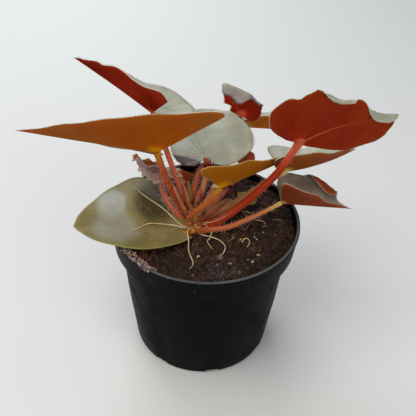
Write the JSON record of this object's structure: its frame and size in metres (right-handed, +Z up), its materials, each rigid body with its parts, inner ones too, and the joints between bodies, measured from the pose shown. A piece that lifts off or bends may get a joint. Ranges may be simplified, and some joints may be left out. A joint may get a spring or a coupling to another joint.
{
  "type": "potted begonia",
  "caption": "Rhizomatous begonia with folded silver leaves, amber and red beneath, in a round black nursery pot of soil.",
  "frame": {"origin": "middle of the pot's foot, on the ground", "axes": "+Z up, +X to the right as the plant is looked at from its front, +Y away from that viewer"},
  "size_m": [0.225, 0.1569, 0.1908],
  "materials": {
    "pot_plastic": "satin charcoal-black moulded plastic",
    "soil": "damp dark potting mix of peat and bark",
    "crown_skin": "fleshy tan rhizome",
    "stalk_skin": "fleshy hairy stalk, red to golden",
    "amber_underside": "satin leaf, amber beneath and silver above",
    "red_underside": "satin leaf, red beneath and silver above",
    "root_skin": "dry pale aerial root"
  },
  "bodies": {
    "root": {"pot": "pot_plastic", "soil": "soil", "crown": "crown_skin", "leaf_gold": "amber_underside", "leaf_red_back": "red_underside", "leaf_silver": "amber_underside", "leaf_far": "amber_underside", "leaf_young_top": "red_underside", "leaf_red_right": "red_underside", "leaf_amber_right": "amber_underside", "leaf_low_right": "amber_underside", "leaf_mustard": "amber_underside", "leaf_low_left": "amber_underside", "leaf_crumpled": "amber_underside", "leaf_brown_young": "amber_underside", "leaf_olive_young": "amber_underside", "leaf_bud": "red_underside", "stalk_gold": "stalk_skin", "stalk_red_back": "stalk_skin", "stalk_silver": "stalk_skin", "stalk_far": "stalk_skin", "stalk_young_top": "stalk_skin", "stalk_red_right": "stalk_skin", "stalk_amber_right": "stalk_skin", "stalk_low_right": "stalk_skin", "stalk_mustard": "stalk_skin", "stalk_low_left": "stalk_skin", "stalk_crumpled": "stalk_skin", "stalk_brown_young": "stalk_skin", "stalk_olive_young": "stalk_skin", "stalk_bud": "stalk_skin", "root_upper_left": "root_skin", "root_lower_left": "root_skin", "root_front": "root_skin", "root_front_right": "root_skin"}
  },
  "joints": []
}
